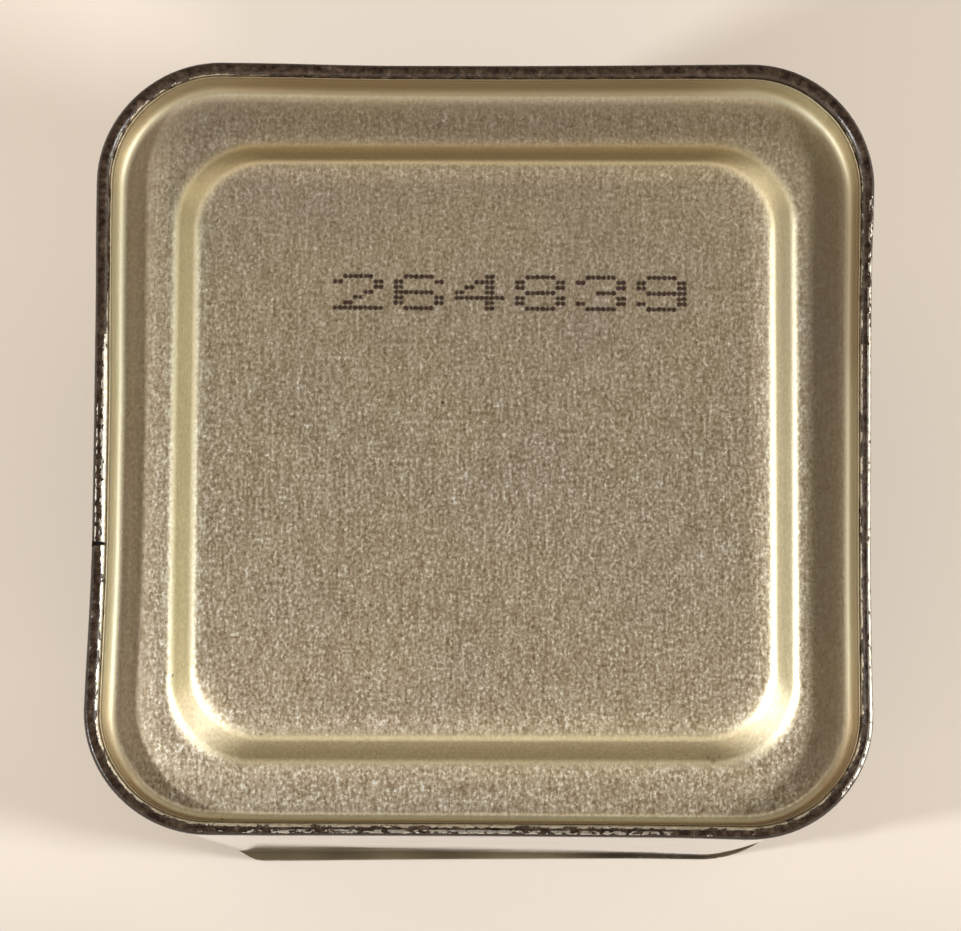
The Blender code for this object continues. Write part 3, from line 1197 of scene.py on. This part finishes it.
def add_nick_mask(look, place):
    """Painted shade in the nick at the seam: a narrow dark slot across the hem."""
    inputs = {
        "Vector": place,
        "Location": (NICK_MIDDLE, SEAM_FRONT, 0),
        "Scale": (*NICK_SHADE_SIZE, 1),
    }
    apart = look.add("Mapping", inputs, vector_type="TEXTURE").outputs["Vector"]
    level = look.vector("MULTIPLY", {0: apart, 1: (1, 1, 0)})
    return look.spread(look.vector("LENGTH", {0: level}, "Value"), 0.7, 1.1, 1.0, 0.0)


def make_body_lacquer(film_group, worn_edge_group):
    """Dark brown lacquer, glossy on the walls and worn through to metal along the hem."""
    material, look = begin_material("body lacquer")
    place = look.place()
    inwards = look.kept("inwards")
    on_hem = look.spread(inwards, -0.5, -0.2)

    # The strip that rubs bare runs along the outer shoulder
    off_middle = look.math("ABSOLUTE", look.minus(inwards, look.kept("strip_middle")))
    strip = look.minus(off_middle, look.kept("strip_half"))
    strip = look.spread(strip, -0.03, 0.05, 1.0, 0.0)
    inputs = {"Place": place, "Strip": strip, "Wear": look.kept("wear"), "Turned": look.kept("turned")}
    worn = look.use(worn_edge_group, **inputs)
    fine, ragged = worn["Fine"], worn["Ragged"]

    # The paint ends in a ragged edge with dark teeth, and bare metal shows beyond it
    teeth = look.spread(ragged, *PAINT_TEETH)
    wobble = look.spread(fine, *NOISE_ALL, -PAINT_WOBBLE, PAINT_WOBBLE)
    past = look.minus(inwards, look.plus(look.kept("paint_edge"), teeth, wobble))
    bare = look.most(look.spread(past, -0.015, 0.03), worn["Bare"])

    # Brown paint with darker blots, dark at the outside and where it ends
    blots = look.noise(place, BLOT_SIZE, 4.0, 0.7)
    paint = look.mix(look.spread(blots, *BROWN_BLOTS), PAINT_DARK, PAINT_BROWN)
    paint = look.mix(look.spread(blots, *DUSTY_BLOTS), paint, PAINT_DUSTY)
    outside = look.spread(inwards, 0.05, 0.45, 0.85, 0.0)
    at_end = look.spread(look.math("ABSOLUTE", past), 0.02, 0.1, 0.9, 0.0)
    paint = look.mix(look.most(outside, at_end), paint, PAINT_BLACK)
    nick = add_nick_mask(look, place)
    # painted shade in the nick
    paint = look.mix(nick, paint, NICK_SHADE)
    bare = look.most(look.minus(bare, nick), 0.0)

    film = look.use(film_group, Place=place, Scuffing=1.0)
    paint = look.mix(on_hem, film["Colour"], paint)
    gloss = look.blend(on_hem, film["Roughness"], look.spread(blots, *NOISE_MOST, *HEM_GLOSS))
    rough_paint = look.minus(look.plus(fine, look.times(blots, 1.5)), bare)
    height = look.plus(look.times(rough_paint, on_hem), film["Height"])
    look.surface({
        "Base Color": look.mix(bare, paint, worn["Metal"]),
        "Metallic": bare,
        "Roughness": look.blend(bare, gloss, WORN_ROUGHNESS),
        "Normal": look.bump(height, FILM_HEIGHT),
    })
    return material


def make_lid_lacquer(film_group, worn_edge_group):
    """The same lacquer on the lid, rubbed bare in flecks along its bead and foot."""
    material, look = begin_material("lid lacquer")
    place = look.place()
    edge = look.kept("edge")
    film = look.use(film_group, Place=place, Scuffing=1.0)
    inputs = {"Place": place, "Strip": edge, "Wear": LID_WEAR, "Turned": look.kept("turned")}
    worn = look.use(worn_edge_group, **inputs)
    thin = look.spread(look.noise(place, THIN_PATCH, 1.0), *THINNED)
    colour = look.mix(look.times(thin, edge), film["Colour"], THIN_OLIVE)
    look.surface({
        "Base Color": look.mix(worn["Bare"], colour, worn["Metal"]),
        "Metallic": worn["Bare"],
        "Roughness": film["Roughness"],
        "Normal": look.bump(film["Height"], FILM_HEIGHT),
    })
    return material


# Ink

INK_BLACK = (0.024, 0.010, 0.004)
INK_PURPLE = (0.052, 0.026, 0.022)
INK_CLOUD = 0.9 * MM
INK_SPOT = 0.25 * MM
INK_RAGGED = 0.25
INK_COVER = (0.0, 0.56, 0.24, 0.94)  # each: from and to a level, and from and to a value
INK_STRENGTH = (0.30, 0.62, 0.72, 1.0)
INK_TINTED = (0.40, 0.66)
INK_GLOSS = (0.45, 0.65)
INK_SHINE = 0.25


def make_ink():
    """Sprayed ink: purple-black dots, thin round the rim and uneven in strength."""
    material, look = begin_material("batch ink")
    place = look.place()
    uneven = look.noise(place, INK_CLOUD, 3.0, 0.6)
    weak = look.noise(place, INK_SPOT, 1.0)
    covering = look.plus(look.kept("ink"), look.spread(weak, *NOISE_ALL, -INK_RAGGED, INK_RAGGED))
    covering = look.spread(covering, *INK_COVER)
    look.surface({
        "Alpha": look.times(covering, look.spread(uneven, *INK_STRENGTH)),
        "Base Color": look.mix(look.spread(uneven, *INK_TINTED), INK_BLACK, INK_PURPLE),
        "Roughness": look.spread(weak, *NOISE_ALL, *INK_GLOSS),
        "Specular IOR Level": INK_SHINE,
    })
    return material


# Surroundings: the table, camera and light, as the photograph has them

TABLE_SIZE = 6.0
TABLE_COLOUR = (0.855, 0.775, 0.705)
TABLE_ROUGHNESS = 0.6
TABLE_LEFT_LIGHT = (-30 * MM, -48 * MM, 0.0, 0.16)  # painted light: from and to a place, and from and to a tone
TABLE_BEHIND_LIGHT = (-55 * MM, -15 * MM, -0.45, 1.0)
TABLE_FRONT_SHADE = (-40 * MM, -60 * MM, 1.0, 0.93)
TABLE_RIGHT_LIGHT = (20 * MM, 48 * MM, 0.0, 1.0)
TABLE_OFF_RIGHT_LIGHT = (-25 * MM, -45 * MM, 0.02, -0.06)
CAMERA_PLACE = (0.332 * MM, -47.18 * MM, 497.89 * MM)
CAMERA_TURN = (math.radians(6.672), math.radians(0.0129), math.radians(0.36))
PHOTO_WIDTH = 961
FOCAL_PIXELS = 4000
SENSOR_WIDTH = 36.0
KEY_COLOUR = (0.98, 1.0, 1.0)
ROOM_COLOUR = (1.0, 0.86, 0.70)
ROOM_HEIGHT = (0.72, 0.58, 0.1, 0.85)  # from and to a direction, and from and to a brightness
ROOM_LOW = (0.40, 0.28, 0.0, 1.0)
ROOM_RIGHT = (0.3, 0.9, 0.0, 1.5)
ROOM_LEFT = (-0.3, -0.9, 0.0, 0.8)
ROOM_BACK = (0.3, 0.9, 0.0, -0.42)
ROOM_FRONT = (0.0, -0.6, 0.0, 0.22)


def make_floor():
    """A pale table with painted light: brighter on the left, and painted shade in front."""
    deselect_all()
    bpy.ops.mesh.primitive_plane_add(size=TABLE_SIZE, location=(0, 0, 0))
    floor = bpy.context.object
    floor.name = "table"
    material, look = begin_material("pale table")
    parts = look.parts(look.place())
    left = look.spread(parts["X"], *TABLE_LEFT_LIGHT)
    behind = look.spread(parts["Y"], *TABLE_BEHIND_LIGHT)
    front = look.spread(parts["Y"], *TABLE_FRONT_SHADE)
    right = look.spread(parts["X"], *TABLE_RIGHT_LIGHT)
    off_right = look.spread(parts["Y"], *TABLE_OFF_RIGHT_LIGHT)
    # painted light and shade on the table, brightest in the tin's shadow on the left
    tone = look.plus(front, look.times(left, behind), look.times(right, off_right))
    colour = look.vector("SCALE", {0: TABLE_COLOUR, "Scale": tone})
    look.surface({"Base Color": colour, "Roughness": TABLE_ROUGHNESS})
    floor.data.materials.append(material)


def aim_light(name, azimuth, elevation, distance, size, power):
    """A round light that faces the tin's top from a direction, azimuth 0 at +X."""
    deselect_all()
    a, e = math.radians(azimuth), math.radians(elevation)
    place = (
        distance * math.cos(e) * math.cos(a),
        distance * math.cos(e) * math.sin(a),
        distance * math.sin(e) + TOP,
    )
    turn = (QUARTER - e, 0, a + QUARTER)
    bpy.ops.object.light_add(type="AREA", location=place, rotation=turn)
    light = bpy.context.object
    light.name = light.data.name = name
    light.data.shape = "DISK"
    light.data.size = size
    light.data.energy = power
    light.data.color = KEY_COLOUR


def make_room():
    """Soft surroundings: bright low down all round, brightest on the right, dark overhead."""
    world = bpy.data.worlds.new("room")
    bpy.context.scene.world = world
    world.use_nodes = True
    look = Look(world.node_tree)
    way = look.parts(look.add("TexCoord", {}).outputs["Generated"])
    walls = look.spread(way["Z"], *ROOM_HEIGHT)
    low = look.spread(way["Z"], *ROOM_LOW)
    right = look.spread(way["X"], *ROOM_RIGHT)
    left = look.spread(way["X"], *ROOM_LEFT)
    back = look.spread(way["Y"], *ROOM_BACK)
    front = look.spread(way["Y"], *ROOM_FRONT)
    sides = look.times(low, look.plus(left, right, back))
    background = world.node_tree.nodes["Background"].inputs
    look.feed(background["Color"], ROOM_COLOUR)
    look.feed(background["Strength"], look.plus(walls, sides, front))


def make_camera():
    deselect_all()
    bpy.ops.object.camera_add(location=CAMERA_PLACE, rotation=CAMERA_TURN)
    camera = bpy.context.object
    camera.data.sensor_fit = "HORIZONTAL"
    camera.data.sensor_width = SENSOR_WIDTH
    camera.data.lens = FOCAL_PIXELS / PHOTO_WIDTH * SENSOR_WIDTH
    bpy.context.scene.camera = camera
    bpy.context.scene.view_settings.view_transform = "Standard"


make_camera()
make_floor()
aim_light("left_light", azimuth=198, elevation=40.1, distance=0.4, size=0.03, power=0.82)
aim_light("right_light", azimuth=-12, elevation=31, distance=0.5, size=0.09, power=1.65)
make_room()
tinplate = make_tinplate()
film_group = make_film_group()
worn_edge_group = make_worn_edge_group()
lid_lacquer = make_lid_lacquer(film_group, worn_edge_group)
make_body(make_body_lacquer(film_group, worn_edge_group))
make_seam(lid_lacquer)
make_end(tinplate)
make_lid(lid_lacquer)
make_digits(make_ink())
